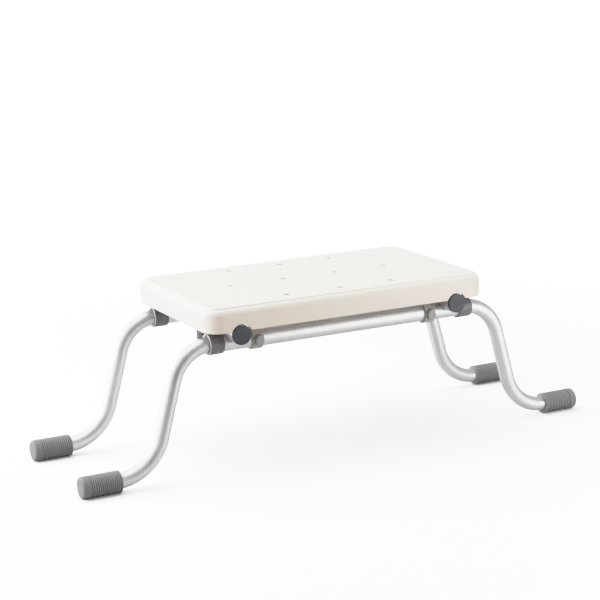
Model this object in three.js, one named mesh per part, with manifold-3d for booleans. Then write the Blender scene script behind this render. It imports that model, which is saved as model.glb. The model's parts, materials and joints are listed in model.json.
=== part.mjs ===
// Bath bench with four telescoping, swivelling S-shaped legs.
// Millimetres. X runs along the rails, Y from front to back, Z up.
// The origin is on the floor, under the middle of the seat.

import * as THREE from 'three';
import { mergeVertices } from 'three/addons/utils/BufferGeometryUtils.js';
import Module from 'manifold-3d';

const wasm = await Module();
wasm.setup();

// ---------------------------------------------------------------- driving dimensions

const GAP = 0.3; // clearance left between neighbouring pieces
const SLEEVE_GAP = 0.4; // the same where a round piece slides or turns in another
const TUBE_SIDES = 20; // facets round the rails and cross tubes
const SMALL_SIDES = 16; // facets round the bushes, plugs and feet

const RAIL_RADIUS = 11.1;
const RAIL_WALL = 1.2;
const RAIL_Y = 82.3; // rail axis, either side of the middle
const RAIL_Z = 163.5; // height of the rail axis over the floor
const RAIL_HALF_LENGTH = 183;

const CROSS_X = 151.5; // cross tube axis, either side of the middle
const CROSS_RISE = 13.3; // cross tube axis above the rail axis
const CROSS_RADIUS = 12.7;
const CROSS_WALL = 1.4;
const CROSS_HALF_LENGTH = 108;
const PLUG_RADIUS = 12.2;
const PLUG_FLANGE = 3.5;
const PLUG_STEM_LENGTH = 12;
const PLUG_CHAMFER = 1.1;

const BUSH_RADIUS = 13.1;
const BUSH_INNER_X = 166.8;
const BUSH_MOUTH_X = 185.5;
const BUSH_MOUTH_RADIUS = 10.2;
const BUSH_CHAMFER = 0.7;
const KEYWAY_WIDTH = 3.4;

const LOCK_X = 122; // middle of each lock collar
const LOCK_LENGTH = 15;
const LOCK_RADIUS = 13.6;
const LOCK_CHAMFER = 0.8;
const BUTTON_HALF_WIDTH = 5.7;
const BUTTON_HALF_HEIGHT = 6.7;
const BUTTON_FACE = 17.3; // distance of the button's face from the rail axis
const BUTTON_CHAMFER = 0.75;
const BUTTON_TRAVEL = 1.6;
const BUTTON_SKIN = 1.6;
const PIN_RADIUS = 2.4;
const PIN_CHAMFER = 0.5;
const PIN_TIP_GAP = 0.35; // the unpressed pin stands this far off the leg
const SPRING_RADIUS = 3.8;
const SPRING_WIRE = 0.3;
const SPRING_HEIGHT = 1.6; // drawn as it is under a pressed button
const SPRING_TURNS = 2;

const LEG_RADIUS = 9.5;
const LEG_WALL = 1.5;
const LEG_INNER_X = 56;
const LEG_BEND_X = 180;
const UPPER_BEND_RADIUS = 52;
const LOWER_BEND_RADIUS = 60;
const LEG_LEAN = THREE.MathUtils.degToRad(15.3); // the straight part's lean from upright
const LEG_DROP = 149.9; // from the rail axis down to the foot's axis
const LEG_END_X = 348.5;
const INDEX_PITCH = 25; // spacing of the leg's locking holes
const INDEX_COUNT = 3;
const GUIDE_HEAD = 4;
const GUIDE_STEM = 10;

const FOOT_RADIUS = 13.6;
const FOOT_INNER_X = 304.5;
const FOOT_OUTER_X = 354.5;
const FOOT_ROUND = 3.5; // rounding of the closed outer end
const FOOT_RIBBED_LENGTH = 39;
const FOOT_RIBS = 7;
const FOOT_RIB_DEPTH = 0.8;

const SEAT_LENGTH = 389;
const SEAT_DEPTH = 221.2;
const SEAT_TOP = 47.8; // above the rail axis
const SEAT_BOTTOM = 17.7;
const SEAT_CORNER = 20;
const SEAT_FILLET = 9;
const SEAT_SKIN = 3.6;
const PANEL_INSET = 6; // the panel's foot stands on the seat's rounded edge
const PANEL_RISE = 1.2;
const DRAIN_RADIUS = 4.7;
const DRAIN_PITCH_X = 73.9;
const DRAIN_PITCH_Y = 80.5;
const ARCH_RADIUS = 13.2;
const STIFFENER_WIDTH = 3;
const STIFFENER_Y = 40; // long ribs under the seat, either side of the middle
const STIFFENER_X = [55, 130]; // cross ribs, either side of the middle
const STIFFENER_STEP = 3; // how much shallower the cross ribs are
const STIFFENER_BITE = 0.9; // how far the ribs reach into the seat's walls
const STIFFENER_SETBACK = 7.5; // from the seat's side to the tall part of a rib
const STIFFENER_SHOULDER = 40; // top of a rib's ends, under the seat's rounded edge
const BOSS_RADIUS = 8;

const STUD_RADIUS = 3;
const STUD_BOTTOM = -9;
const KNOB_RADIUS = 9;
const KNOB_BOTTOM = -15.3;
const KNOB_RIBS = 4;
const KNOB_RIB_DEPTH = 1;

// ---------------------------------------------------------------- materials

const paint = (color, roughness, metalness) => ({ color, roughness, metalness });
const CREAM_PLASTIC = paint(0xf3f1ea, 0.42, 0);
const ALUMINIUM = paint(0xdcdee0, 0.3, 1);
const GREY_PLASTIC = paint(0x8e8e90, 0.5, 0);
const BUTTON_PLASTIC = paint(0x9a9894, 0.45, 0);
const DARK_PLASTIC = paint(0x484b50, 0.5, 0);
const GREY_RUBBER = paint(0x85878a, 0.8, 0);
const STEEL = paint(0xb8bcc2, 0.3, 1);

// ---------------------------------------------------------------- geometry helpers

function signedVolume(position, index) {
  const a = new THREE.Vector3();
  const b = new THREE.Vector3();
  const c = new THREE.Vector3();
  let total = 0;
  for (let i = 0; i < index.length; i += 3) {
    a.fromBufferAttribute(position, index[i]);
    b.fromBufferAttribute(position, index[i + 1]);
    c.fromBufferAttribute(position, index[i + 2]);
    total += a.dot(b.cross(c)) / 6;
  }
  return total;
}

// Keeps position only, merges shared corners, drops empty triangles and turns every face outward.
function closedSurface(geometry) {
  const bare = geometry.clone();
  bare.deleteAttribute('normal');
  bare.deleteAttribute('uv');
  const merged = mergeVertices(bare);
  const index = [];
  for (let i = 0; i < merged.index.count; i += 3) {
    const corners = [0, 1, 2].map((k) => merged.index.getX(i + k));
    if (new Set(corners).size === 3) index.push(...corners);
  }
  if (signedVolume(merged.attributes.position, index) < 0) index.reverse();
  merged.setIndex(index);
  return merged;
}

function solid(geometry) {
  const surface = closedSurface(geometry);
  return new wasm.Manifold(new wasm.Mesh({
    numProp: 3,
    vertProperties: surface.attributes.position.array,
    triVerts: new Uint32Array(surface.index.array),
  }));
}

function geometryOf(body) {
  const { vertProperties, triVerts } = body.getMesh();
  const geometry = new THREE.BufferGeometry();
  geometry.setAttribute('position', new THREE.BufferAttribute(vertProperties, 3));
  geometry.setIndex(new THREE.BufferAttribute(triVerts, 1));
  return geometry;
}

const union = (bodies) => bodies.reduce((whole, body) => whole.add(body));
const cutAll = (body, tools) => tools.reduce((rest, tool) => rest.subtract(tool), body);

// A turned piece along X; the profile is a list of [x, radius] and closes on itself or on the axis.
function turnedX(profile, segments) {
  const points = profile.map(([x, radius]) => new THREE.Vector2(radius, x));
  return new THREE.LatheGeometry(points, segments).rotateZ(-Math.PI / 2);
}

// The same about Y; the profile is a list of [y, radius].
function turnedY(profile, segments) {
  const points = profile.map(([y, radius]) => new THREE.Vector2(radius, y));
  return new THREE.LatheGeometry(points, segments);
}

const ring = (from, to, inner, outer) => [
  [from, inner], [from, outer], [to, outer], [to, inner], [from, inner],
];

function rodX(radius, from, to, segments = 24) {
  return new THREE.CylinderGeometry(radius, radius, to - from, segments)
    .rotateZ(Math.PI / 2).translate((from + to) / 2, 0, 0);
}

function rodY(radius, from, to, segments = 24) {
  return new THREE.CylinderGeometry(radius, radius, to - from, segments)
    .translate(0, (from + to) / 2, 0);
}

function rodZ(radius, from, to, segments = 16) {
  return new THREE.CylinderGeometry(radius, radius, to - from, segments)
    .rotateX(Math.PI / 2).translate(0, 0, (from + to) / 2);
}

function block(x, y, z, width, depth, height) {
  return new THREE.BoxGeometry(width, depth, height).translate(x, y, z);
}

function roundedRectangle(length, depth, radius) {
  const [x, y] = [length / 2 - radius, depth / 2 - radius];
  const shape = new THREE.Shape();
  shape.absarc(x, y, radius, 0, Math.PI / 2);
  shape.absarc(-x, y, radius, Math.PI / 2, Math.PI);
  shape.absarc(-x, -y, radius, Math.PI, 1.5 * Math.PI);
  shape.absarc(x, -y, radius, 1.5 * Math.PI, 2 * Math.PI);
  shape.closePath();
  return shape;
}

function slab(shape, from, to, curveSegments = 3) {
  const options = { depth: to - from, bevelEnabled: false, curveSegments };
  return new THREE.ExtrudeGeometry(shape, options).translate(0, 0, from);
}

// ---------------------------------------------------------------- seat

function drainHoles() {
  const rows = [[-1, 3], [0, 4], [1, 3]]; // row number, holes in it
  const tools = [];
  for (const [row, count] of rows) {
    for (let i = 0; i < count; i += 1) {
      const x = (i - (count - 1) / 2) * DRAIN_PITCH_X;
      const hole = rodZ(DRAIN_RADIUS, SEAT_BOTTOM, SEAT_TOP + GAP, 10);
      tools.push(solid(hole.translate(x, row * DRAIN_PITCH_Y, 0)));
    }
  }
  return tools;
}

function insetSlab(inset, corner, from, to) {
  const outline = roundedRectangle(SEAT_LENGTH - 2 * inset, SEAT_DEPTH - 2 * inset, corner);
  return solid(slab(outline, from, to));
}

function seatShell() {
  const border = SEAT_TOP - PANEL_RISE;
  const roof = border - SEAT_SKIN;
  const outer = new THREE.ExtrudeGeometry(
    roundedRectangle(
      SEAT_LENGTH - 2 * SEAT_FILLET, SEAT_DEPTH - 2 * SEAT_FILLET, SEAT_CORNER - SEAT_FILLET,
    ),
    {
      depth: border - SEAT_BOTTOM - SEAT_FILLET,
      bevelThickness: SEAT_FILLET,
      bevelSize: SEAT_FILLET,
      bevelSegments: 3,
      curveSegments: 3,
    },
  ).translate(0, 0, SEAT_BOTTOM);
  const below = block(0, 0, SEAT_BOTTOM - SEAT_FILLET, 2 * SEAT_LENGTH, 2 * SEAT_DEPTH, 2 * SEAT_FILLET);
  const cavity = insetSlab(SEAT_SKIN, SEAT_CORNER - SEAT_SKIN, 0, roof - SEAT_FILLET / 2);
  const upperCavity = insetSlab(SEAT_FILLET + GAP, SEAT_CORNER - SEAT_FILLET, 0, roof);
  const panel = insetSlab(PANEL_INSET, SEAT_CORNER - PANEL_INSET, border - SEAT_SKIN / 2, SEAT_TOP);
  return cutAll(solid(outer), [solid(below), cavity, upperCavity]).add(panel);
}

// Long and cross ribs, lower at their ends, and a boss for each stud.
function seatStiffeners() {
  const roof = SEAT_TOP - PANEL_RISE - SEAT_SKIN / 2;
  const low = CROSS_RISE + CROSS_RADIUS + GAP;
  const crossLow = low + STIFFENER_STEP;
  const pieces = [];
  const ends = [SEAT_SKIN - STIFFENER_BITE, STIFFENER_SHOULDER];
  for (const [inset, top] of [ends, [STIFFENER_SETBACK, roof]]) {
    const length = SEAT_LENGTH - 2 * inset;
    const depth = SEAT_DEPTH - 2 * inset;
    for (const side of [-1, 1]) {
      pieces.push(block(0, side * STIFFENER_Y, (low + top) / 2, length, STIFFENER_WIDTH, top - low));
      for (const x of STIFFENER_X) {
        const middle = (crossLow + top) / 2;
        pieces.push(block(side * x, 0, middle, STIFFENER_WIDTH, depth, top - crossLow));
      }
    }
  }
  for (const x of [-CROSS_X, CROSS_X]) pieces.push(rodZ(BOSS_RADIUS, low, roof).translate(x, 0, 0));
  return pieces.map(solid);
}

// Arches over the cross tubes, cut through the front and rear walls only, and the holes.
function seatCuts() {
  const tools = drainHoles();
  const studTop = SEAT_TOP - PANEL_RISE - SEAT_SKIN;
  for (const side of [-1, 1]) {
    const x = side * CROSS_X;
    const width = 3 * ARCH_RADIUS;
    const arch = solid(rodY(ARCH_RADIUS, -SEAT_DEPTH, SEAT_DEPTH).translate(x, 0, CROSS_RISE));
    const inside = solid(block(x, 0, CROSS_RISE, width, SEAT_DEPTH - 6 * SEAT_SKIN, width));
    tools.push(arch.subtract(inside));
    tools.push(solid(rodZ(STUD_RADIUS + GAP, SEAT_BOTTOM, studTop).translate(x, 0, 0)));
  }
  return tools;
}

function seatBoard() {
  return geometryOf(cutAll(seatShell().add(union(seatStiffeners())), seatCuts()));
}

// ---------------------------------------------------------------- frame tubes

function rail(buttonSide) {
  const inner = RAIL_RADIUS - RAIL_WALL;
  const wall = ring(-RAIL_HALF_LENGTH, RAIL_HALF_LENGTH, inner, RAIL_RADIUS);
  const tube = solid(turnedX(wall, TUBE_SIDES));
  const holes = [-LOCK_X, LOCK_X].map((x) => solid(
    rodY(PIN_RADIUS + GAP, 0, buttonSide * 2 * RAIL_RADIUS, 10).translate(x, 0, 0),
  ));
  return geometryOf(cutAll(tube, holes));
}

function crossTube() {
  const inner = CROSS_RADIUS - CROSS_WALL;
  const wall = ring(-CROSS_HALF_LENGTH, CROSS_HALF_LENGTH, inner, CROSS_RADIUS);
  const tube = solid(turnedY(wall, TUBE_SIDES));
  const saddles = [-RAIL_Y, RAIL_Y].map((y) => solid(
    rodX(RAIL_RADIUS + GAP, -2 * CROSS_RADIUS, 2 * CROSS_RADIUS, TUBE_SIDES).translate(0, y, -CROSS_RISE),
  ));
  const studHole = solid(rodZ(STUD_RADIUS + GAP, -2 * CROSS_RADIUS, 2 * CROSS_RADIUS));
  return geometryOf(cutAll(tube, [...saddles, studHole]));
}

// Closes the +Y end of a cross tube.
function tubePlug() {
  const flange = CROSS_HALF_LENGTH + GAP;
  const face = flange + PLUG_FLANGE;
  const stem = CROSS_RADIUS - CROSS_WALL - GAP;
  const profile = [
    [CROSS_HALF_LENGTH - PLUG_STEM_LENGTH, 0],
    [CROSS_HALF_LENGTH - PLUG_STEM_LENGTH, stem],
    [flange, stem],
    [flange, PLUG_RADIUS],
    [face - PLUG_CHAMFER, PLUG_RADIUS],
    [face, PLUG_RADIUS - PLUG_CHAMFER],
    [face, 0],
  ];
  return turnedY(profile, TUBE_SIDES);
}

// Guides the leg where it leaves the rail. The keyway is at the top of the mouth.
function railBush() {
  const bore = RAIL_RADIUS + SLEEVE_GAP;
  const lip = RAIL_HALF_LENGTH + GAP;
  const profile = [
    [BUSH_INNER_X, bore],
    [BUSH_INNER_X, BUSH_RADIUS],
    [BUSH_MOUTH_X - BUSH_CHAMFER, BUSH_RADIUS],
    [BUSH_MOUTH_X, BUSH_RADIUS - BUSH_CHAMFER],
    [BUSH_MOUTH_X, BUSH_MOUTH_RADIUS + BUSH_CHAMFER],
    [BUSH_MOUTH_X - BUSH_CHAMFER, BUSH_MOUTH_RADIUS],
    [lip, BUSH_MOUTH_RADIUS],
    [lip, bore],
    [BUSH_INNER_X, bore],
  ];
  const keyway = block(BUSH_MOUTH_X, 0, BUSH_MOUTH_RADIUS, KEYWAY_WIDTH, KEYWAY_WIDTH, KEYWAY_WIDTH);
  return geometryOf(solid(turnedX(profile, TUBE_SIDES)).subtract(solid(keyway)));
}

// ---------------------------------------------------------------- leg locks, on the +Y side of the rail

function ellipseRod(halfWidth, halfHeight, from, to) {
  const oval = new THREE.Shape();
  oval.absellipse(0, 0, halfWidth, halfHeight, 0, 2 * Math.PI);
  return slab(oval, from, to, 8).rotateX(-Math.PI / 2);
}

function lockCollar() {
  const bore = RAIL_RADIUS + SLEEVE_GAP;
  const [from, to] = [LOCK_X - LOCK_LENGTH / 2, LOCK_X + LOCK_LENGTH / 2];
  const profile = [
    [from, bore],
    [from, LOCK_RADIUS - LOCK_CHAMFER],
    [from + LOCK_CHAMFER, LOCK_RADIUS],
    [to - LOCK_CHAMFER, LOCK_RADIUS],
    [to, LOCK_RADIUS - LOCK_CHAMFER],
    [to, bore],
    [from, bore],
  ];
  const window = ellipseRod(BUTTON_HALF_WIDTH + GAP, BUTTON_HALF_HEIGHT + GAP, 0, 2 * LOCK_RADIUS);
  const collar = solid(turnedX(profile, TUBE_SIDES));
  return geometryOf(collar.subtract(solid(window.translate(LOCK_X, 0, 0))));
}

function lockButton() {
  const underside = RAIL_RADIUS + GAP + BUTTON_TRAVEL;
  const oval = (inset, face) => solid(
    ellipseRod(BUTTON_HALF_WIDTH - inset, BUTTON_HALF_HEIGHT - inset, 0, face),
  );
  const body = oval(0, BUTTON_FACE - BUTTON_CHAMFER).add(oval(BUTTON_CHAMFER, BUTTON_FACE));
  const hollow = solid(rodX(underside, -2 * LOCK_LENGTH, 2 * LOCK_LENGTH, TUBE_SIDES));
  const springWell = solid(rodY(SPRING_RADIUS + 2 * SPRING_WIRE, 0, BUTTON_FACE - BUTTON_SKIN, 12));
  return geometryOf(cutAll(body, [hollow, springWell]).translate([LOCK_X, 0, 0]));
}

// The tip stands just clear of the leg; pressing the button runs it into the leg's locking hole.
function lockPin() {
  const tip = LEG_RADIUS + PIN_TIP_GAP;
  const head = BUTTON_FACE - BUTTON_SKIN - GAP;
  const profile = [
    [tip, 0],
    [tip, PIN_RADIUS - PIN_CHAMFER],
    [tip + PIN_CHAMFER, PIN_RADIUS],
    [head, PIN_RADIUS],
    [head, 0],
  ];
  return turnedY(profile, 10).translate(LOCK_X, 0, 0);
}

class HelixCurve extends THREE.Curve {
  constructor(radius, height, turns) {
    super();
    Object.assign(this, { radius, height, turns });
  }

  getPoint(t, target = new THREE.Vector3()) {
    const angle = 2 * Math.PI * this.turns * t;
    return target.set(this.radius * Math.cos(angle), this.height * t, this.radius * Math.sin(angle));
  }
}

function lockSpring() {
  const wire = new THREE.Shape().absarc(0, 0, SPRING_WIRE, 0, 2 * Math.PI);
  const extrudePath = new HelixCurve(SPRING_RADIUS, SPRING_HEIGHT, SPRING_TURNS);
  const coil = new THREE.ExtrudeGeometry(wire, { steps: 18, extrudePath, curveSegments: 2 });
  return coil.translate(LOCK_X, RAIL_RADIUS + 2 * SPRING_WIRE, 0);
}

// ---------------------------------------------------------------- legs

// A curve that passes its stations in equal steps of its parameter, whatever their spacing.
class StationCurve extends THREE.Curve {
  constructor(stations) {
    super();
    this.stations = stations;
  }

  station(t) {
    return this.stations[Math.round(t * (this.stations.length - 1))];
  }

  getPoint(t, target = new THREE.Vector3()) {
    return target.copy(this.station(t).point);
  }

  getTangent(t, target = new THREE.Vector3()) {
    return target.copy(this.station(t).tangent);
  }

  getUtoTmapping(u) {
    return u;
  }
}

// The S-shaped centre line in the XZ plane: level, bent down, straight, bent level again.
function legStations(bendSteps) {
  const bend = Math.PI / 2 - LEG_LEAN;
  const stations = [];
  const mark = (x, z, angle) => stations.push({
    point: new THREE.Vector3(x, 0, z),
    tangent: new THREE.Vector3(Math.cos(angle), 0, -Math.sin(angle)),
  });
  mark(LEG_INNER_X, 0, 0);
  for (let i = 0; i <= bendSteps; i += 1) {
    const angle = (bend * i) / bendSteps;
    const x = LEG_BEND_X + UPPER_BEND_RADIUS * Math.sin(angle);
    mark(x, UPPER_BEND_RADIUS * (Math.cos(angle) - 1), angle);
  }
  const upperEnd = stations.at(-1).point;
  const lowerStartZ = LOWER_BEND_RADIUS * (1 - Math.cos(bend)) - LEG_DROP;
  const lowerStartX = upperEnd.x + (upperEnd.z - lowerStartZ) * Math.tan(LEG_LEAN);
  for (let i = bendSteps; i >= 0; i -= 1) {
    const angle = (bend * i) / bendSteps;
    const x = lowerStartX + LOWER_BEND_RADIUS * (Math.sin(bend) - Math.sin(angle));
    mark(x, LOWER_BEND_RADIUS * (1 - Math.cos(angle)) - LEG_DROP, angle);
  }
  mark(LEG_END_X, -LEG_DROP, 0);
  return stations;
}

function leg() {
  const section = new THREE.Shape().absarc(0, 0, LEG_RADIUS, 0, 2 * Math.PI);
  section.holes.push(new THREE.Path().absarc(0, 0, LEG_RADIUS - LEG_WALL, 0, 2 * Math.PI));
  const stations = legStations(6);
  const tube = new THREE.ExtrudeGeometry(section, {
    steps: stations.length - 1,
    extrudePath: new StationCurve(stations),
    curveSegments: 6,
  });
  const holes = [];
  for (let i = 0; i < INDEX_COUNT; i += 1) {
    const hole = rodY(PIN_RADIUS + 1.5 * GAP, -2 * LEG_RADIUS, 2 * LEG_RADIUS, 8);
    holes.push(solid(hole.translate(LOCK_X - i * INDEX_PITCH, 0, 0)));
  }
  return geometryOf(cutAll(solid(tube), holes));
}

// Slides in the rail; the leg turns on its stem.
function guidePlug() {
  const stem = LEG_RADIUS - LEG_WALL - SLEEVE_GAP;
  const head = LEG_INNER_X - GAP;
  const profile = [
    [head - GUIDE_HEAD, 0],
    [head - GUIDE_HEAD, LEG_RADIUS],
    [head, LEG_RADIUS],
    [head, stem],
    [head + GUIDE_STEM, stem],
    [head + GUIDE_STEM, 0],
  ];
  return turnedX(profile, SMALL_SIDES);
}

// A closed sleeve: ribs along most of it, then a smooth rounded end.
function foot() {
  const bore = LEG_RADIUS + GAP;
  const pitch = FOOT_RIBBED_LENGTH / FOOT_RIBS;
  const profile = [[FOOT_INNER_X, bore]];
  for (let i = 0; i < FOOT_RIBS; i += 1) {
    const x = FOOT_INNER_X + i * pitch;
    profile.push([x, FOOT_RADIUS - FOOT_RIB_DEPTH]);
    profile.push([x + pitch / 2, FOOT_RADIUS]);
  }
  const smoothX = FOOT_INNER_X + FOOT_RIBBED_LENGTH;
  profile.push([smoothX, FOOT_RADIUS - FOOT_RIB_DEPTH]);
  profile.push([smoothX + FOOT_RIB_DEPTH, FOOT_RADIUS]);
  for (const angle of [0, 30, 60, 90].map(THREE.MathUtils.degToRad)) {
    const x = FOOT_OUTER_X - FOOT_ROUND + FOOT_ROUND * Math.sin(angle);
    profile.push([x, FOOT_RADIUS - FOOT_ROUND + FOOT_ROUND * Math.cos(angle)]);
  }
  const boreEnd = LEG_END_X + GAP;
  profile.push([FOOT_OUTER_X, 0], [boreEnd, 0], [boreEnd, bore], [FOOT_INNER_X, bore]);
  return turnedX(profile, SMALL_SIDES).translate(0, 0, -LEG_DROP);
}

// ---------------------------------------------------------------- seat fixings

function seatStud() {
  return rodZ(STUD_RADIUS, STUD_BOTTOM, SEAT_TOP - PANEL_RISE - SEAT_SKIN - GAP);
}

// A blind hand nut with ribs round it, which pulls the seat down on the cross tube.
function seatKnob() {
  const top = CROSS_RISE - CROSS_RADIUS - GAP;
  const pitch = (top - KNOB_BOTTOM) / KNOB_RIBS;
  const profile = [[0, KNOB_BOTTOM]];
  for (let i = 0; i < KNOB_RIBS; i += 1) {
    const z = KNOB_BOTTOM + i * pitch;
    profile.push([KNOB_RADIUS - KNOB_RIB_DEPTH, z]);
    profile.push([KNOB_RADIUS, z + pitch / 4], [KNOB_RADIUS, z + (3 * pitch) / 4]);
  }
  profile.push([KNOB_RADIUS - KNOB_RIB_DEPTH, top], [STUD_RADIUS + GAP, top]);
  profile.push([STUD_RADIUS + GAP, STUD_BOTTOM - GAP], [0, STUD_BOTTOM - GAP]);
  const points = profile.map(([radius, z]) => new THREE.Vector2(radius, z));
  return new THREE.LatheGeometry(points, SMALL_SIDES).rotateX(Math.PI / 2);
}

// ---------------------------------------------------------------- assembly

const bench = new THREE.Group();
const frame = new THREE.Group(); // everything hangs from the rails' height
frame.position.z = RAIL_Z;
bench.add(frame);

function place(parent, name, geometry, finish) {
  const surface = closedSurface(geometry);
  surface.computeVertexNormals();
  const mesh = new THREE.Mesh(surface, new THREE.MeshStandardMaterial(finish));
  mesh.name = name;
  parent.add(mesh);
  return mesh;
}

place(frame, 'seat_board', seatBoard(), CREAM_PLASTIC);

for (const [side, y] of [['front', -RAIL_Y], ['rear', RAIL_Y]]) {
  place(frame, `rail_${side}`, rail(Math.sign(y)), ALUMINIUM).position.y = y;
}

for (const [end, x] of [['left', -CROSS_X], ['right', CROSS_X]]) {
  place(frame, `cross_tube_${end}`, crossTube(), ALUMINIUM).position.set(x, 0, CROSS_RISE);
  place(frame, `seat_stud_${end}`, seatStud(), STEEL).position.x = x;
  place(frame, `seat_knob_${end}`, seatKnob(), GREY_PLASTIC).position.x = x;
}

for (const [side, sideSign] of [['front', -1], ['rear', 1]]) {
  for (const [end, endSign] of [['left', -1], ['right', 1]]) {
    const corner = `${side}_${end}`;

    const plug = place(frame, `tube_plug_${corner}`, tubePlug(), DARK_PLASTIC);
    plug.position.set(endSign * CROSS_X, 0, CROSS_RISE);
    plug.rotation.z = sideSign > 0 ? 0 : Math.PI;

    // In this group local +X points out along the rail.
    const railEnd = new THREE.Group();
    railEnd.position.y = sideSign * RAIL_Y;
    railEnd.rotation.z = endSign > 0 ? 0 : Math.PI;
    frame.add(railEnd);
    place(railEnd, `rail_bush_${corner}`, railBush(), GREY_PLASTIC);
    place(railEnd, `guide_plug_${corner}`, guidePlug(), GREY_PLASTIC);
    place(railEnd, `leg_${corner}`, leg(), ALUMINIUM);
    place(railEnd, `foot_${corner}`, foot(), GREY_RUBBER);

    // In this group local +Y points away from the seat, where the button is.
    const lock = new THREE.Group();
    lock.rotation.x = sideSign * endSign > 0 ? 0 : Math.PI;
    railEnd.add(lock);
    place(lock, `lock_collar_${corner}`, lockCollar(), GREY_PLASTIC);
    place(lock, `lock_button_${corner}`, lockButton(), BUTTON_PLASTIC);
    place(lock, `lock_pin_${corner}`, lockPin(), STEEL);
    place(lock, `lock_spring_${corner}`, lockSpring(), STEEL);
  }
}

export default bench;
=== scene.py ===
import json
import math

import bmesh
import bpy
from mathutils import Matrix, Vector

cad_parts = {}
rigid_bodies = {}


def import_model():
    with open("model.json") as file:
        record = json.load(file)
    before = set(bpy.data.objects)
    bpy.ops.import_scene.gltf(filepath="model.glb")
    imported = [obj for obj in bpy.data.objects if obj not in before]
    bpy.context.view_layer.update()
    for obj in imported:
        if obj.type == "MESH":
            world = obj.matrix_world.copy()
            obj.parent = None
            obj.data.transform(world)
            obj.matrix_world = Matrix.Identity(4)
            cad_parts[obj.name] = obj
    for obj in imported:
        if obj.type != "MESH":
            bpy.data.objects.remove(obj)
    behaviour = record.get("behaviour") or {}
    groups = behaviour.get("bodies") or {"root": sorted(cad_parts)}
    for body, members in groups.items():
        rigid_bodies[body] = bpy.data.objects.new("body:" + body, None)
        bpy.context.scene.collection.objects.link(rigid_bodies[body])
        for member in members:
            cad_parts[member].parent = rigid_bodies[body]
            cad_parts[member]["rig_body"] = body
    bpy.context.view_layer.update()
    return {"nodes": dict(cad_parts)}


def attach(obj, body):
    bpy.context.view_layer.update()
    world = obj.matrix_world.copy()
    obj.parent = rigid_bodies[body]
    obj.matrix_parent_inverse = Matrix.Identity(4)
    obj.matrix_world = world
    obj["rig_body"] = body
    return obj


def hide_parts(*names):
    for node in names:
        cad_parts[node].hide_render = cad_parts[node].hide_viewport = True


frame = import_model()

# Lengths are millimetres until a mesh is made. Heights are over the rail axis, as in the CAD.
MM = 0.001
RAIL_Z = 163.5
TURN = 2 * math.pi

RAIL_RADIUS = 11.1
RAIL_WALL = 1.2
RAIL_Y = 82.3
RAIL_HALF_LENGTH = 183
SADDLE_GAP = 0.5
CROSS_X = 151.5
CROSS_RISE = 13.3
CROSS_RADIUS = 12.7
CROSS_WALL = 1.4
CROSS_HALF_LENGTH = 108
PLUG_FACE = 111.8
PLUG_RADIUS = 12.2
GAP = 0.3

BUSH_INNER_X = 166.8
BUSH_MOUTH_X = 185.5
BUSH_RADIUS = 13.1
BUSH_BORE = 11.5
MOUTH_RADIUS = 10.2
LOCK_X = 122
LOCK_HALF = 7.5
LOCK_RADIUS = 13.6
BUTTON_HALF = (5.7, 6.7)
BUTTON_FACE = 17.3

LEG_RADIUS = 9.5
LEG_WALL = 1.5
LEG_INNER_X = 56
LEG_BEND_X = 180
UPPER_BEND = 52
LOWER_BEND = 60
LEG_LEAN = math.radians(15.3)
LEG_DROP = 149.9
LEG_END_X = 348.5
PIN_RADIUS = 2.4
LOCK_PITCH = 25
LOCK_HOLES = 3
PIN_TIP_GAP = 0.35
FOOT_RADIUS = 13.6
FOOT_INNER_X = 304.5
FOOT_OUTER_X = 354.5

SEAT_HALF = (194.5, 110.6)
SEAT_TOP = 47.8
SEAT_BOTTOM = 17.7
SEAT_CORNER = 20
SEAT_SKIN = 3.6
SEAT_FILLET = 9
PANEL_RISE = 1.2
BORDER = SEAT_TOP - PANEL_RISE
ROOF = BORDER - SEAT_SKIN
FUSED = ROOF + 1.6  # ribs and bosses end inside the skin
PANEL_INSET = 6
ARCH_RADIUS = 13.2
FLARE = 5
DRAIN_RADIUS = 4.7
DRAIN_RIM = 1.3
DRAIN_PITCH = (73.9, 80.5)
RIB_Y = 40
RIB_X = (-130, -55, 55, 130)
RIB_BITE = 2.9  # from the seat's side to a rib's end, inside the wall
RIB_SLOPE = 2.8  # how far a rib rises over, at its end
RIB_STEP = 3  # how much shallower the cross ribs are
BOSS_RADIUS = 8
STUD_RADIUS = 3
STUD_BOTTOM = -9
KNOB_RADIUS = 9
KNOB_BOTTOM = -15.3
KNOB_RIBS = 4
FOOT_RIBS = 15
FOOT_RIBBED_LENGTH = 39


# ---------------------------------------------------------------- shapes: (vertices, faces)

def rounded(corners, steps=4):
    """Turns (u, v, radius) corners into an outline whose corners are arcs."""
    outline = []
    for i, (u, v, radius) in enumerate(corners):
        corner = Vector((u, v))
        if radius == 0:
            outline.append(corner)
            continue
        before = (Vector(corners[i - 1][:2]) - corner).normalized()
        after = (Vector(corners[(i + 1) % len(corners)][:2]) - corner).normalized()
        half = before.angle(after) / 2
        centre = corner + (before + after).normalized() * (radius / math.sin(half))
        reach = radius / math.tan(half)
        start = corner + before * reach - centre
        end = corner + after * reach - centre
        first = math.atan2(start.y, start.x)
        sweep = (math.atan2(end.y, end.x) - first + math.pi) % TURN - math.pi
        for k in range(steps + 1):
            angle = first + sweep * k / steps
            outline.append(centre + radius * Vector((math.cos(angle), math.sin(angle))))
    return outline


def stitched(rings, closed=False):
    """Joins rings of equal count with quads, and caps both ends unless the rings close on themselves."""
    count = len(rings[0])
    faces = []
    for i in range(len(rings) if closed else len(rings) - 1):
        a, b = i * count, (i + 1) % len(rings) * count
        for k in range(count):
            m = (k + 1) % count
            faces.append((a + k, a + m, b + m, b + k))
    if not closed:
        last = (len(rings) - 1) * count
        faces.append(tuple(reversed(range(count))))
        faces.append(tuple(last + k for k in range(count)))
    return [point for ring in rings for point in ring], faces


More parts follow.
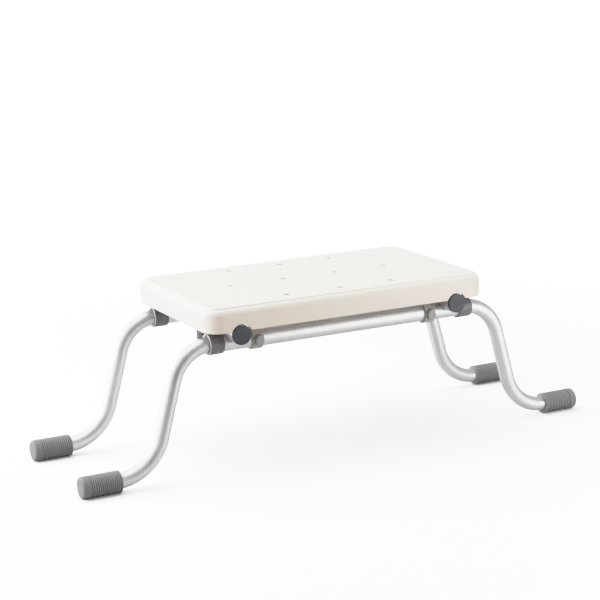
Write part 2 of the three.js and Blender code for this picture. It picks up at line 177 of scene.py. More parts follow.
def turned(outline, axis, segments=64, closed=False):
    """Turns an outline of (along, radius) about X, Y or Z."""
    rings = []
    for along, radius in outline:
        ring = []
        for k in range(segments):
            c, s = radius * math.cos(TURN * k / segments), radius * math.sin(TURN * k / segments)
            ring.append({"x": (along, c, s), "y": (s, along, c), "z": (c, s, along)}[axis])
        rings.append(ring)
    return stitched(rings, closed)


def rod(radius, start, end, axis, segments=32):
    return turned([(start, radius), (end, radius)], axis, segments)


def rectangle(half, radius, z, inset=0, steps=8):
    """A ring of points round a rectangle with rounded corners."""
    x, y = half[0] - inset - radius, half[1] - inset - radius
    ring = []
    for quarter, (sx, sy) in enumerate([(1, 1), (-1, 1), (-1, -1), (1, -1)]):
        for k in range(steps + 1):
            angle = (quarter + k / steps) * math.pi / 2
            ring.append((sx * x + radius * math.cos(angle), sy * y + radius * math.sin(angle), z))
    return ring


def box(x, y, z, width, depth, height, corner):
    """A block with its upright edges rounded."""
    half = (width / 2, depth / 2)
    rings = [rectangle(half, corner, level, steps=3) for level in (-height / 2, height / 2)]
    return shifted(stitched(rings), x, y, z)


def moved(shape, matrix):
    return [matrix @ Vector(point) for point in shape[0]], shape[1]


def shifted(shape, x=0, y=0, z=0):
    return moved(shape, Matrix.Translation((x, y, z)))


def together(*shapes):
    vertices, faces = [], []
    for points, polygons in shapes:
        faces += [tuple(i + len(vertices) for i in polygon) for polygon in polygons]
        vertices += list(points)
    return vertices, faces


# ---------------------------------------------------------------- objects

def mesh_object(name, shape, matrix=Matrix()):
    mesh = bpy.data.meshes.new(name)
    lift = Matrix.Diagonal((MM, MM, MM, 1)) @ Matrix.Translation((0, 0, RAIL_Z)) @ matrix
    mesh.from_pydata([lift @ Vector(point) for point in shape[0]], [], shape[1])
    work = bmesh.new()
    work.from_mesh(mesh)
    bmesh.ops.recalc_face_normals(work, faces=work.faces)
    work.to_mesh(mesh)
    work.free()
    made = bpy.data.objects.new(name, mesh)
    bpy.context.scene.collection.objects.link(made)
    return made


def combine(target, operation, *shapes, matrix=Matrix()):
    """Adds or cuts shapes that don't touch one another."""
    tool = mesh_object("tool", together(*shapes), matrix)
    modifier = target.modifiers.new("combine", "BOOLEAN")
    modifier.operation = operation
    modifier.solver = "EXACT"
    modifier.object = tool
    bpy.context.view_layer.update()
    result = bpy.data.meshes.new_from_object(target.evaluated_get(bpy.context.evaluated_depsgraph_get()))
    target.modifiers.clear()
    result.name = target.name
    target.data = result
    bpy.data.objects.remove(tool)


def settle(made, node, look, sharp=32):
    """Shades the piece, gives it its finish and lets it stand for its CAD node."""
    mesh = made.data
    work = bmesh.new()
    work.from_mesh(mesh)
    bmesh.ops.remove_doubles(work, verts=work.verts, dist=2e-6)
    bmesh.ops.dissolve_degenerate(work, edges=work.edges, dist=1e-6)
    work.to_mesh(mesh)
    work.free()
    mesh.shade_smooth()
    mesh.set_sharp_from_angle(angle=math.radians(sharp))
    weighted = made.modifiers.new("weighted", "WEIGHTED_NORMAL")
    weighted.keep_sharp = True
    material, slot_name = look
    mesh.materials.clear()
    mesh.materials.append(material)
    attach(made, frame["nodes"][node]["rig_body"])
    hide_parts(node)


def piece(node, shape, look, place=Matrix(), cuts=()):
    """Makes a node's visible piece. Each group in cuts is one cut, by shapes that don't touch."""
    made = mesh_object(f"{node}_visual", shape, place)
    for group in cuts:
        combine(made, "DIFFERENCE", *group, matrix=place)
    settle(made, node, look)


# ---------------------------------------------------------------- materials

def link(tree, source, target):
    tree.links.new(source, target)


def noise(tree, scale, detail=3.0):
    """Fractal noise in the object's own metres; returns its value output."""
    place = tree.nodes.new("ShaderNodeTexCoord")
    texture = tree.nodes.new("ShaderNodeTexNoise")
    texture.inputs["Scale"].default_value = scale
    texture.inputs["Detail"].default_value = detail
    link(tree, place.outputs["Object"], texture.inputs["Vector"])
    return texture.outputs["Fac"]


def ranged(tree, source, from_low, from_high, low, high):
    node = tree.nodes.new("ShaderNodeMapRange")
    node.inputs["From Min"].default_value = from_low
    node.inputs["From Max"].default_value = from_high
    node.inputs["To Min"].default_value = low
    node.inputs["To Max"].default_value = high
    link(tree, source, node.inputs["Value"])
    return node.outputs["Result"]


def mixed(tree, factor, first, second):
    """Mixes two colours, or a colour output and a colour."""
    node = tree.nodes.new("ShaderNodeMix")
    node.data_type = "RGBA"
    link(tree, factor, node.inputs["Factor"])
    for value, name in ((first, "A"), (second, "B")):
        socket = [s for s in node.inputs if s.name == name and s.type == "RGBA"][0]
        if isinstance(value, tuple):
            socket.default_value = (*value, 1)
        else:
            link(tree, value, socket)
    return [s for s in node.outputs if s.type == "RGBA"][0]


def finish(name, dark, light, rough, metallic=0.0, speck=(900, 0.35, 0.65), grain=(1500, 0.15),
           edge_wear_and_highlight=None, crease_shade=None):
    """A mottled finish: two tones, broken roughness, grain, lighter edges from wear and a painted highlight,
    and painted shade in grooves.
    """
    material = bpy.data.materials.new(name)
    material.use_nodes = True
    tree = material.node_tree
    shader = tree.nodes["Principled BSDF"]
    speckle = ranged(tree, noise(tree, speck[0], 4.0), speck[1], speck[2], 0, 1)
    colour = mixed(tree, speckle, dark, light)
    pointed = tree.nodes.new("ShaderNodeNewGeometry").outputs["Pointiness"]
    # lighter convex edges: wear, and a painted highlight where light catches the rims
    if edge_wear_and_highlight:
        colour = mixed(tree, ranged(tree, pointed, 0.51, 0.58, 0, 1), colour, edge_wear_and_highlight)
    # painted shade: concave creases such as rib grooves are darkened
    if crease_shade:
        colour = mixed(tree, ranged(tree, pointed, 0.5, 0.42, 0, 1), colour, crease_shade)
    link(tree, colour, shader.inputs["Base Color"])
    patches = ranged(tree, noise(tree, 60, 5.0), 0.3, 0.7, rough - 0.05, rough + 0.07)
    link(tree, patches, shader.inputs["Roughness"])
    shader.inputs["Metallic"].default_value = metallic
    bump = tree.nodes.new("ShaderNodeBump")
    bump.inputs["Strength"].default_value = grain[1]
    bump.inputs["Distance"].default_value = 0.0002
    link(tree, noise(tree, grain[0]), bump.inputs["Height"])
    link(tree, bump.outputs["Normal"], shader.inputs["Normal"])
    return material


def coordinate(tree, axis):
    """The distance of a point from the middle plane of X or Y, in metres."""
    place = tree.nodes.new("ShaderNodeTexCoord")
    split = tree.nodes.new("ShaderNodeSeparateXYZ")
    link(tree, place.outputs["Object"], split.inputs["Vector"])
    node = tree.nodes.new("ShaderNodeMath")
    node.operation = "ABSOLUTE"
    link(tree, split.outputs[axis], node.inputs[0])
    return node.outputs["Value"]


def repaint(tree, factor, colour):
    """Lays a colour over the base colour where factor is 1."""
    shader = tree.nodes["Principled BSDF"]
    base = shader.inputs["Base Color"].links[0].from_socket
    link(tree, mixed(tree, factor, base, colour), shader.inputs["Base Color"])


def seat_finish():
    """Cream plastic with a fine moulded grain; light soaks in a little. Painted light: a warmer, darker tone
    on the outer sides and another tone on upward faces stand in for how the light falls.
    """
    material = finish("seat_plastic", (0.80, 0.77, 0.72), (0.83, 0.80, 0.75), 0.42,
                      speck=(14, 0.3, 0.7), grain=(1400, 0.12))
    tree = material.node_tree
    shader = tree.nodes["Principled BSDF"]
    shader.inputs["Subsurface Weight"].default_value = 0.12
    shader.inputs["Subsurface Radius"].default_value = (1.0, 0.6, 0.4)
    shader.inputs["Subsurface Scale"].default_value = 0.004
    # painted shade: a warmer, darker tone towards the outer sides stands in for how the light falls on them
    for axis, wall in (("X", SEAT_HALF[0]), ("Y", SEAT_HALF[1])):
        side = ranged(tree, coordinate(tree, axis), (wall - SEAT_FILLET) * MM, (wall - 1) * MM, 0, 1)
        repaint(tree, side, (0.81, 0.72, 0.63))
    # painted light: faces turned upward get another tone, standing in for the light from above
    normal = tree.nodes.new("ShaderNodeNewGeometry").outputs["Normal"]
    split = tree.nodes.new("ShaderNodeSeparateXYZ")
    link(tree, normal, split.inputs["Vector"])
    repaint(tree, ranged(tree, split.outputs["Z"], 0.2, 0.95, 0, 1), (0.84, 0.825, 0.71))
    return material


def bush_finish():
    """Grey plastic with a painted highlight: a bright ring at its mouth stands in for the strong light from
    the side.
    """
    material = finish("bush_plastic", (0.135, 0.135, 0.14), (0.175, 0.175, 0.18), 0.45,
                      edge_wear_and_highlight=(0.26, 0.26, 0.265))
    tree = material.node_tree
    # painted highlight: the mouth's end ring is made bright, standing in for the strong side light
    painted_mouth_highlight = ranged(tree, coordinate(tree, "X"), (BUSH_MOUTH_X - 0.7) * MM, (BUSH_MOUTH_X - 0.3) * MM, 0, 1)
    repaint(tree, painted_mouth_highlight, (0.5, 0.5, 0.505))
    return material


SEAT = (seat_finish(), "seat_plastic")
ALUMINIUM = (finish("satin_aluminium", (0.65, 0.65, 0.655), (0.71, 0.71, 0.715), 0.5, metallic=1.0,
                    speck=(500, 0.3, 0.7), grain=(2600, 0.10)), "aluminium")
GREY = (finish("grey_plastic", (0.135, 0.135, 0.14), (0.175, 0.175, 0.18), 0.45,
               edge_wear_and_highlight=(0.26, 0.26, 0.265)), "grey_plastic")
BUSH = (bush_finish(), "grey_plastic")
COLLAR = (finish("collar_plastic", (0.38, 0.355, 0.32), (0.44, 0.415, 0.38), 0.5,
                 edge_wear_and_highlight=(0.50, 0.48, 0.46)), "grey_plastic")
BUTTON = (finish("button_plastic", (0.29, 0.285, 0.275), (0.34, 0.335, 0.325), 0.45,
                 edge_wear_and_highlight=(0.42, 0.41, 0.40)), "button_plastic")
DARK = (finish("dark_plastic", (0.026, 0.031, 0.038), (0.07, 0.079, 0.09), 0.5,
               speck=(1600, 0.42, 0.62), grain=(1600, 0.35), edge_wear_and_highlight=(0.11, 0.115, 0.12)), "dark_plastic")
# foot rubber: its rib grooves get painted shade
RUBBER = (finish("foot_rubber", (0.18, 0.18, 0.185), (0.225, 0.225, 0.23), 0.72, edge_wear_and_highlight=(0.34, 0.34, 0.345),
                 speck=(700, 0.35, 0.65), grain=(2200, 0.3), crease_shade=(0.035, 0.035, 0.037)), "foot_rubber")
STEEL = (finish("steel", (0.48, 0.49, 0.51), (0.60, 0.61, 0.62), 0.28, metallic=1.0,
                speck=(300, 0.3, 0.7), grain=(3000, 0.1)), "steel")


# ---------------------------------------------------------------- seat

def seat_skin():
    """The hollow seat: its raised panel stands on the rounded edge, a little in from the side."""
    inner = rounded([
        (13, ROOF, 0), (SEAT_SKIN, ROOF, SEAT_FILLET - SEAT_SKIN), (SEAT_SKIN, SEAT_BOTTOM, 0.6),
        (0, SEAT_BOTTOM, 1.3), (0, BORDER - SEAT_FILLET, 0),
    ], steps=6)
    panel_foot = math.acos(1 - PANEL_INSET / SEAT_FILLET)
    edge = []
    for k in range(1, 9):
        angle = panel_foot * k / 8
        edge.append((SEAT_FILLET * (1 - math.cos(angle)), BORDER - SEAT_FILLET * (1 - math.sin(angle))))
    panel = rounded([(*edge[-1], 0), (PANEL_INSET + 0.4, SEAT_TOP, 0.8), (15, SEAT_TOP, 0)], steps=6)
    rings = []
    for inset, z in [*inner, *edge, *panel[1:]]:
        rings.append(rectangle(SEAT_HALF, SEAT_CORNER - inset, z, inset, steps=12))
    return stitched(rings)


def drains():
    spots = []
    for row, count in ((-1, 3), (0, 4), (1, 3)):
        for i in range(count):
            spots.append(((i - (count - 1) / 2) * DRAIN_PITCH[0], row * DRAIN_PITCH[1]))
    return spots


def arch(grow):
    """The outline over a cross tube: a round top whose feet flare into the seat's lower edge."""
    flare = FLARE - grow
    rise = SEAT_BOTTOM + flare - 0.05 - grow - CROSS_RISE
    reach = math.sqrt((ARCH_RADIUS + FLARE) ** 2 - rise ** 2)
    outline = [(reach, -2)]
    corner = math.atan2(rise, reach)
    for k in range(7):
        angle = -math.pi / 2 - (math.pi / 2 - corner) * k / 6
        outline.append((reach + flare * math.cos(angle), rise + flare * math.sin(angle)))
    for k in range(1, 33):
        angle = corner + (math.pi - 2 * corner) * k / 33
        outline.append(((ARCH_RADIUS + grow) * math.cos(angle), (ARCH_RADIUS + grow) * math.sin(angle)))
    for k in range(6, -1, -1):
        angle = -math.pi / 2 + (math.pi / 2 - corner) * k / 6
        outline.append((-reach + flare * math.cos(angle), rise + flare * math.sin(angle)))
    outline.append((-reach, -2))
    return outline


def arch_tool(side, end):
    """Cuts one arch through the wall; its outer rim opens with a small round."""
    wall = SEAT_HALF[1]
    levels = [(-8, 0), (-0.9, 0), (-0.55, 0.08), (-0.25, 0.3), (0, 0.7), (3, 0.7)]
    rings = []
    for beyond, grow in levels:
        y = end * (wall + beyond)
        rings.append([(side * CROSS_X + u, y, CROSS_RISE + v) for u, v in arch(grow)])
    return stitched(rings)


def rib(low, half, axis):
    """A rib with a rounded foot, lower at its ends, under the seat's rounded edge."""
    low_end = ROOF - 4
    slope = half - RIB_SLOPE
    rings = []
    for along, top in ((-half, low_end), (-slope, FUSED), (slope, FUSED), (half, low_end)):
        outline = rounded([(-1.5, low, 1.2), (1.5, low, 1.2), (1.7, top, 0), (-1.7, top, 0)])
        rings.append([(along, u, v) if axis == "x" else (u, along, v) for u, v in outline])
    return stitched(rings)


def build_seat():
    seat = mesh_object("seat_board_visual", seat_skin())
    over_tube = CROSS_RISE + CROSS_RADIUS + GAP
    long_rib = rib(over_tube, SEAT_HALF[0] - RIB_BITE, "x")
    cross_rib = rib(over_tube + RIB_STEP, SEAT_HALF[1] - RIB_BITE, "y")
    boss = turned(rounded([
        (over_tube, 5, 0), (over_tube, BOSS_RADIUS, 0.8), (FUSED + 0.3, BOSS_RADIUS + 0.3, 0),
    ]), "z", 48)
    collar = turned([(ROOF - 4, DRAIN_RADIUS + 1.6), (FUSED + 0.2, DRAIN_RADIUS + 1.9)], "z", 40)
    bosses = [shifted(boss, x) for x in (-CROSS_X, CROSS_X)]
    bosses += [shifted(collar, x, y) for x, y in drains()]
    combine(seat, "UNION", *[shifted(long_rib, y=side * RIB_Y) for side in (-1, 1)])
    combine(seat, "UNION", *[shifted(cross_rib, x) for x in RIB_X])
    combine(seat, "UNION", *bosses)
    over = SEAT_TOP + 0.03
    rim = rounded([(30, DRAIN_RADIUS, 0), (over, DRAIN_RADIUS, DRAIN_RIM), (over, 9, 0)], steps=5)
    drain = turned([*rim[:-1], Vector((SEAT_TOP + 2, DRAIN_RADIUS + DRAIN_RIM))], "z", 48)
    stud_hole = rod(STUD_RADIUS + GAP, 15, ROOF, "z")
    cuts = [shifted(drain, x, y) for x, y in drains()]
    for side in (-1, 1):
        cuts += [arch_tool(side, end) for end in (-1, 1)]
        cuts.append(shifted(stud_hole, side * CROSS_X))
    combine(seat, "DIFFERENCE", *cuts)
    settle(seat, "seat_board", SEAT, sharp=28)


# ---------------------------------------------------------------- tubes

def tube(radius, wall, half_length, axis):
    return turned(rounded([
        (-half_length, radius - wall, 0.2), (-half_length, radius, 0.4),
        (half_length, radius, 0.4), (half_length, radius - wall, 0.2),
    ], steps=2), axis, closed=True)


def build_frame():
    beyond = 26
    for side, y in (("front", -RAIL_Y), ("rear", RAIL_Y)):
        pin_hole = rod(PIN_RADIUS + GAP, 0, math.copysign(2 * RAIL_RADIUS, y), "y")
        holes = [shifted(pin_hole, x) for x in (-LOCK_X, LOCK_X)]
        rail = tube(RAIL_RADIUS, RAIL_WALL, RAIL_HALF_LENGTH, "x")
        piece(f"rail_{side}", rail, ALUMINIUM, Matrix.Translation((0, y, 0)), [holes])
    for end, x in (("left", -CROSS_X), ("right", CROSS_X)):
        saddle = rod(RAIL_RADIUS + SADDLE_GAP, -beyond, beyond, "x", 64)
        cuts = [shifted(saddle, y=y, z=-CROSS_RISE) for y in (-RAIL_Y, RAIL_Y)]
        cuts.append(rod(STUD_RADIUS + GAP, -beyond, beyond, "z"))
        cross = tube(CROSS_RADIUS, CROSS_WALL, CROSS_HALF_LENGTH, "y")
        piece(f"cross_tube_{end}", cross, ALUMINIUM, Matrix.Translation((x, 0, CROSS_RISE)), [cuts])


def build_plug(corner, place):
    stem = CROSS_RADIUS - CROSS_WALL - GAP
    flange = CROSS_HALF_LENGTH + GAP
    outline = rounded([
        (96, stem - 1, 0), (97.5, stem, 0), (flange, stem, 0.3), (flange, PLUG_RADIUS, 0.4),
        (PLUG_FACE - 0.1, PLUG_RADIUS, 1.0), (PLUG_FACE, 8, 0),
    ], steps=5)
    piece(f"tube_plug_{corner}", turned(outline, "y"), DARK, place)


def build_stud(end, place):
    """The threaded stud that hangs from the seat."""
    top = ROOF - GAP
    pitch = 1.0
    outline = [Vector((STUD_BOTTOM, 2.2))]
    for k in range(22):
        z = STUD_BOTTOM + 0.4 + k * pitch
        outline += [Vector((z, 2.55)), Vector((z + pitch / 2, STUD_RADIUS))]
    outline += [Vector((z + pitch, STUD_RADIUS)), Vector((top - 0.4, STUD_RADIUS)), Vector((top, 2.6))]
    piece(f"seat_stud_{end}", turned(outline, "z", 40), STEEL, place)


def build_knob(end, place):
    """The ribbed hand nut on a stud, under the cross tube."""
    top = CROSS_RISE - CROSS_RADIUS - GAP
    pitch = (top - KNOB_BOTTOM) / KNOB_RIBS
    rib_shape = ((0.06, 1.0), (0.14, 0.45), (0.25, 0.1), (0.5, 0), (0.75, 0.1), (0.86, 0.45), (0.94, 1.0))
    outline = [Vector((KNOB_BOTTOM, 4)), Vector((KNOB_BOTTOM, KNOB_RADIUS - 1.6))]
    for k in range(KNOB_RIBS):
        for share, depth in rib_shape:
            outline.append(Vector((KNOB_BOTTOM + (k + share) * pitch, KNOB_RADIUS - depth)))
    outline += [Vector((top, KNOB_RADIUS - 1.4)), Vector((top, 4))]
    bore = rod(STUD_RADIUS + GAP, STUD_BOTTOM - GAP, 10, "z")
    piece(f"seat_knob_{end}", turned(outline, "z", 72), GREY, place, [[bore]])


# ---------------------------------------------------------------- rail ends, in a frame whose X points out

def build_bush(corner, place):
    lip = RAIL_HALF_LENGTH + GAP
    outline = rounded([
        (BUSH_INNER_X, BUSH_BORE, 0.2), (BUSH_INNER_X, BUSH_RADIUS, 0.6), (BUSH_MOUTH_X, BUSH_RADIUS, 0.8),
        (BUSH_MOUTH_X, MOUTH_RADIUS, 0.9), (lip, MOUTH_RADIUS, 0.1), (lip, BUSH_BORE, 0.1),
    ], steps=5)
    keyway = box(BUSH_MOUTH_X, 0, MOUTH_RADIUS, 3, 3.4, 3.4, 0.4)
    piece(f"rail_bush_{corner}", turned(outline, "x", closed=True), BUSH, place, [[keyway]])


def build_guide(corner, place):
    stem = LEG_RADIUS - LEG_WALL - GAP - 0.1
    head = LEG_INNER_X - GAP
    outline = rounded([
        (head - 4, 6, 0), (head - 4, LEG_RADIUS, 0.6), (head, LEG_RADIUS, 0.3), (head, stem, 0.2),
        (head + 10, stem, 0.8), (head + 10, 5, 0),
    ])
    piece(f"guide_plug_{corner}", turned(outline, "x"), GREY, place)


def leg_path():
    """(x, z, angle below level) along the S-shaped centre line."""
    bend = math.pi / 2 - LEG_LEAN
    steps = 30
    path = [(LEG_INNER_X, 0, 0), (LEG_BEND_X - 20, 0, 0)]
    for i in range(steps + 1):
        angle = bend * i / steps
        path.append((LEG_BEND_X + UPPER_BEND * math.sin(angle), UPPER_BEND * (math.cos(angle) - 1), angle))
    end_x, end_z, _ = path[-1]
    start_z = LOWER_BEND * (1 - math.cos(bend)) - LEG_DROP
    start_x = end_x + (end_z - start_z) * math.tan(LEG_LEAN)
    path.append(((end_x + start_x) / 2, (end_z + start_z) / 2, bend))
    for i in range(steps, -1, -1):
        angle = bend * i / steps
        x = start_x + LOWER_BEND * (math.sin(bend) - math.sin(angle))
        path.append((x, LOWER_BEND * (1 - math.cos(angle)) - LEG_DROP, angle))
    path.append((LEG_END_X, -LEG_DROP, 0))
    return path


def leg_ring(station, radius, segments=56):
    x, z, angle = station
    ring = []
    for k in range(segments):
        c, s = radius * math.cos(TURN * k / segments), radius * math.sin(TURN * k / segments)
        ring.append((x + c * math.sin(angle), s, z + c * math.cos(angle)))
    return ring


def build_leg(corner, place):
    path = leg_path()
    outer = [leg_ring(station, LEG_RADIUS) for station in path]
    inner = [leg_ring(station, LEG_RADIUS - LEG_WALL) for station in reversed(path)]
    hole = rod(PIN_RADIUS + 0.45, -2 * LEG_RADIUS, 2 * LEG_RADIUS, "y")
    holes = [shifted(hole, LOCK_X - LOCK_PITCH * i) for i in range(LOCK_HOLES)]
    piece(f"leg_{corner}", stitched(outer + inner, closed=True), ALUMINIUM, place, [holes])


def build_foot(corner, place):
    bore = LEG_RADIUS + GAP
    pitch = FOOT_RIBBED_LENGTH / FOOT_RIBS
    rib_shape = ((0.08, 0.35), (0.25, 0.05), (0.42, 0), (0.6, 0.08), (0.76, 0.45), (0.86, 0.8), (0.98, 0.8))
    outline = [Vector((FOOT_INNER_X, bore - 2)), Vector((FOOT_INNER_X, FOOT_RADIUS - 1.0))]
    for i in range(FOOT_RIBS):
        for share, depth in rib_shape:
            outline.append(Vector((FOOT_INNER_X + (i + share) * pitch, FOOT_RADIUS - depth)))
    smooth = FOOT_INNER_X + FOOT_RIBBED_LENGTH
    outline += rounded([
        (smooth, FOOT_RADIUS - 0.8, 0), (smooth + 0.4, FOOT_RADIUS, 0.25),
        (FOOT_OUTER_X - 0.3, FOOT_RADIUS, 3.4), (FOOT_OUTER_X, 8, 0), (FOOT_OUTER_X, 4, 0),
    ], steps=8)[1:]
    socket = rod(bore, FOOT_INNER_X - 5, LEG_END_X + GAP, "x", 64)
    low = place @ Matrix.Translation((0, 0, -LEG_DROP))
    piece(f"foot_{corner}", turned(outline, "x"), RUBBER, low, [[socket]])


# ---------------------------------------------------------------- locks, with the button on +Y

def oval(half, y, grow=0.0, segments=56):
    return [(LOCK_X + (half[0] + grow) * math.cos(TURN * k / segments), y,
             (half[1] + grow) * math.sin(TURN * k / segments)) for k in range(segments)]


def build_collar(corner, place):
    start, end = LOCK_X - LOCK_HALF, LOCK_X + LOCK_HALF
    outline = rounded([
        (start, BUSH_BORE, 0.2), (start, LOCK_RADIUS, 1.0), (end, LOCK_RADIUS, 1.0), (end, BUSH_BORE, 0.2),
    ], steps=5)
    levels = [(LOCK_RADIUS - 0.9, 0.35), (LOCK_RADIUS - 0.4, 0.5), (LOCK_RADIUS - 0.1, 0.8)]
    levels = [(5, 0.35), *levels, (LOCK_RADIUS + 4, 1.0)]
    window = stitched([oval(BUTTON_HALF, y, grow) for y, grow in levels])
    piece(f"lock_collar_{corner}", turned(outline, "x", closed=True), COLLAR, place, [[window]])


def build_button(corner, place):
    rounding = ((-1.0, 0), (-0.65, -0.06), (-0.35, -0.25), (-0.12, -0.58), (0, -1.1))
    rings = [oval(BUTTON_HALF, 8)]
    rings += [oval(BUTTON_HALF, BUTTON_FACE + below, grow) for below, grow in rounding]
    round_rail = rod(13.0, 100, 150, "x", 96)
    well = shifted(rod(4.4, 5, BUTTON_FACE - 1.6, "y", 48), LOCK_X)
    piece(f"lock_button_{corner}", stitched(rings), BUTTON, place, [[round_rail], [well]])


def build_pin(corner, place):
    tip = LEG_RADIUS + PIN_TIP_GAP
    head = BUTTON_FACE - 1.9
    outline = rounded([
        (tip, 1.0, 0), (tip, PIN_RADIUS, 0.6), (head, PIN_RADIUS, 0.2), (head, 1.0, 0),
    ])
    piece(f"lock_pin_{corner}", shifted(turned(outline, "y", 40), LOCK_X), STEEL, place)


def build_spring(corner, place):
    radius, wire, height, turns, steps = 3.8, 0.3, 1.6, 2, 96
    rings = []
    for i in range(steps + 1):
        angle = TURN * turns * i / steps
        out = Vector((math.cos(angle), 0, math.sin(angle)))
        centre = Vector((LOCK_X, RAIL_RADIUS + 0.6 + height * i / steps, 0)) + out * radius
        up = Vector((0, 1, 0))
        rings.append([
            centre + wire * (out * math.cos(TURN * k / 12) + up * math.sin(TURN * k / 12)) for k in range(12)
        ])
    piece(f"lock_spring_{corner}", stitched(rings), STEEL, place)


# ---------------------------------------------------------------- assembly

build_seat()
build_frame()
for end, x in (("left", -CROSS_X), ("right", CROSS_X)):
    build_stud(end, Matrix.Translation((x, 0, 0)))
    build_knob(end, Matrix.Translation((x, 0, 0)))
for side, side_sign in (("front", -1), ("rear", 1)):
    for end, end_sign in (("left", -1), ("right", 1)):
        corner = f"{side}_{end}"
        about_z = Matrix.Rotation(0 if end_sign > 0 else math.pi, 4, "Z")
        outward = Matrix.Rotation(0 if side_sign > 0 else math.pi, 4, "Z")
        build_plug(corner, Matrix.Translation((end_sign * CROSS_X, 0, CROSS_RISE)) @ outward)
        rail_end = Matrix.Translation((0, side_sign * RAIL_Y, 0)) @ about_z
        build_bush(corner, rail_end)
        build_guide(corner, rail_end)
        build_leg(corner, rail_end)
        build_foot(corner, rail_end)
        lock = rail_end @ Matrix.Rotation(0 if side_sign * end_sign > 0 else math.pi, 4, "X")
        build_collar(corner, lock)
        build_button(corner, lock)
        build_pin(corner, lock)
        build_spring(corner, lock)


# ---------------------------------------------------------------- stage, light and camera

FLOOR_TONE = 0.42
FLOOR_SEEN = 1.6
WHITE = 3.0
BEHIND_CAMERA = (0.05, -1.0, 0.1)
SKY = (1.0, 0.03)
RIGHT_SKY = 0.6
DARK_PATCH = (-0.25, -0.75, 0)
CAMERA_AZIMUTH = math.radians(-27.85)
CAMERA_ELEVATION = math.radians(13.15)
CAMERA_ROLL = math.radians(-1.19)
CAMERA_TARGET = Vector((-0.0146, 0, 0.0169 + RAIL_Z * MM))
CAMERA_DISTANCE = 2.224
CAMERA_LENS = 104.496  # on a 36 mm sensor


def light_path(tree, kind):
    return tree.nodes.new("ShaderNodeLightPath").outputs[kind]


def product(tree, first, second):
    node = tree.nodes.new("ShaderNodeMath")
    node.operation = "MULTIPLY"
    link(tree, first, node.inputs[0])
    link(tree, second, node.inputs[1])
    return node.outputs["Value"]


def distance_from(tree, point):
    place = tree.nodes.new("ShaderNodeTexCoord")
    node = tree.nodes.new("ShaderNodeVectorMath")
    node.operation = "DISTANCE"
    link(tree, place.outputs["Object"], node.inputs[0])
    node.inputs[1].default_value = point
    return node.outputs["Value"]


def blended(tree, factor, first, second):
    node = tree.nodes.new("ShaderNodeMixShader")
    link(tree, factor, node.inputs["Fac"])
    link(tree, first, node.inputs[1])
    link(tree, second, node.inputs[2])
    return node.outputs["Shader"]


def build_floor():
    """A pale floor. The camera sees it bright, so that only contact shadows show; tubes mirror it dimmer."""
    mesh = bpy.data.meshes.new("floor")
    corners = [(6 * x, 6 * y, 0) for x, y in ((-1, -1), (1, -1), (1, 1), (-1, 1))]
    mesh.from_pydata(corners, [], [(0, 1, 2, 3)])
    floor = bpy.data.objects.new("floor", mesh)
    bpy.context.scene.collection.objects.link(floor)
    material = bpy.data.materials.new("pale_floor")
    material.use_nodes = True
    tree = material.node_tree
    shader = tree.nodes["Principled BSDF"]
    shader.inputs["Roughness"].default_value = 0.5
    place = tree.nodes.new("ShaderNodeTexCoord")
    split = tree.nodes.new("ShaderNodeSeparateXYZ")
    link(tree, place.outputs["Object"], split.inputs["Vector"])
    mirrored = product(tree, ranged(tree, split.outputs["X"], -0.55, -0.3, 0.95, 0.68),
                       ranged(tree, distance_from(tree, DARK_PATCH), 0.3, 0.6, 0.05, 1))
    tone = tree.nodes.new("ShaderNodeMix")
    link(tree, light_path(tree, "Is Glossy Ray"), tone.inputs[0])
    tone.inputs[2].default_value = FLOOR_TONE
    link(tree, mirrored, tone.inputs[3])
    link(tree, tone.outputs[0], shader.inputs["Base Color"])
    seen = tree.nodes.new("ShaderNodeBsdfDiffuse")
    seen.inputs["Color"].default_value = (FLOOR_SEEN, FLOOR_SEEN, FLOOR_SEEN, 1)
    glow = tree.nodes.new("ShaderNodeEmission")
    glow.inputs["Strength"].default_value = WHITE
    far = ranged(tree, distance_from(tree, (0, 0, 0)), 0.55, 1.0, 0, 1)
    shown = blended(tree, far, seen.outputs["BSDF"], glow.outputs["Emission"])
    surface = blended(tree, light_path(tree, "Is Camera Ray"), shader.outputs["BSDF"], shown)
    link(tree, surface, tree.nodes["Material Output"].inputs["Surface"])
    mesh.materials.append(material)


def area_light(name, position, target, size, power):
    data = bpy.data.lights.new(name, "AREA")
    data.shape = "RECTANGLE"
    data.size, data.size_y = size
    data.energy = power
    lamp = bpy.data.objects.new(name, data)
    bpy.context.scene.collection.objects.link(lamp)
    lamp.location = position
    lamp.rotation_mode = "QUATERNION"
    lamp.rotation_quaternion = (Vector(target) - Vector(position)).to_track_quat("-Z", "Y")


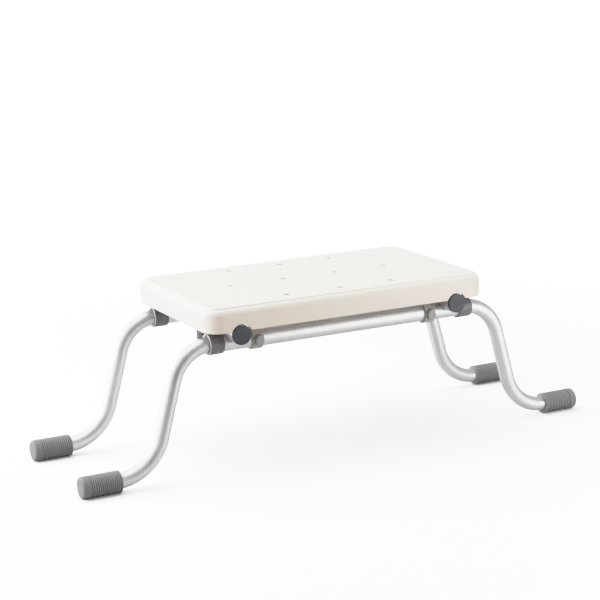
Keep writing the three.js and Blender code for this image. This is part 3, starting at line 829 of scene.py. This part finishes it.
def build_world():
    """White for the camera; for light and reflections a soft sky that is dark behind the camera."""
    world = bpy.data.worlds.new("studio")
    bpy.context.scene.world = world
    world.use_nodes = True
    tree = world.node_tree
    background = tree.nodes["Background"]
    place = tree.nodes.new("ShaderNodeTexCoord")
    aim = tree.nodes.new("ShaderNodeVectorMath")
    aim.operation = "DOT_PRODUCT"
    link(tree, place.outputs["Generated"], aim.inputs[0])
    aim.inputs[1].default_value = Vector(BEHIND_CAMERA).normalized()
    split = tree.nodes.new("ShaderNodeSeparateXYZ")
    link(tree, place.outputs["Generated"], split.inputs["Vector"])
    sky = product(tree, ranged(tree, aim.outputs["Value"], 0.35, 0.92, *SKY),
                  ranged(tree, split.outputs["X"], -0.1, 0.6, 1, RIGHT_SKY))
    strength = tree.nodes.new("ShaderNodeMix")
    link(tree, light_path(tree, "Is Camera Ray"), strength.inputs[0])
    link(tree, sky, strength.inputs[2])
    strength.inputs[3].default_value = WHITE
    link(tree, strength.outputs[0], background.inputs["Strength"])
    background.inputs["Color"].default_value = (1, 1, 1, 1)


def soften_highlights():
    """Rolls the bright end off softly: light of WHITE and more shows as white."""
    view = bpy.context.scene.view_settings
    view.view_transform = "Standard"
    view.use_curve_mapping = True
    mapping = view.curve_mapping
    mapping.white_level = (WHITE, WHITE, WHITE)
    for light, shown in ((0.25, 0.25), (0.5, 0.5), (0.75, 0.72), (1.0, 0.83), (1.5, 0.91), (2.2, 0.965)):
        mapping.curves[3].points.new(light / WHITE, shown)
    mapping.update()


def build_camera():
    level = math.cos(CAMERA_ELEVATION)
    back = Vector((math.sin(CAMERA_AZIMUTH) * level, -math.cos(CAMERA_AZIMUTH) * level,
                   math.sin(CAMERA_ELEVATION)))
    data = bpy.data.cameras.new("camera")
    data.sensor_width = 36
    data.lens = CAMERA_LENS
    camera = bpy.data.objects.new("camera", data)
    bpy.context.scene.collection.objects.link(camera)
    camera.location = CAMERA_TARGET + CAMERA_DISTANCE * back
    camera.rotation_mode = "QUATERNION"
    look = (-back).to_track_quat("-Z", "Y")
    camera.rotation_quaternion = look @ Matrix.Rotation(CAMERA_ROLL, 4, "Z").to_quaternion()
    bpy.context.scene.camera = camera


build_floor()
build_world()
area_light("top", (-0.3, 0.3, 1.6), (0, 0, 0), (1.6, 1.6), 19)
area_light("left", (-1.4, 0.85, 0.55), (-0.1, 0, 0.12), (2.4, 1.4), 42)
area_light("front_right", (0.6, -0.85, 0.2), (0.2, -0.1, 0.14), (0.5, 0.5), 5.5)
build_camera()
soften_highlights()
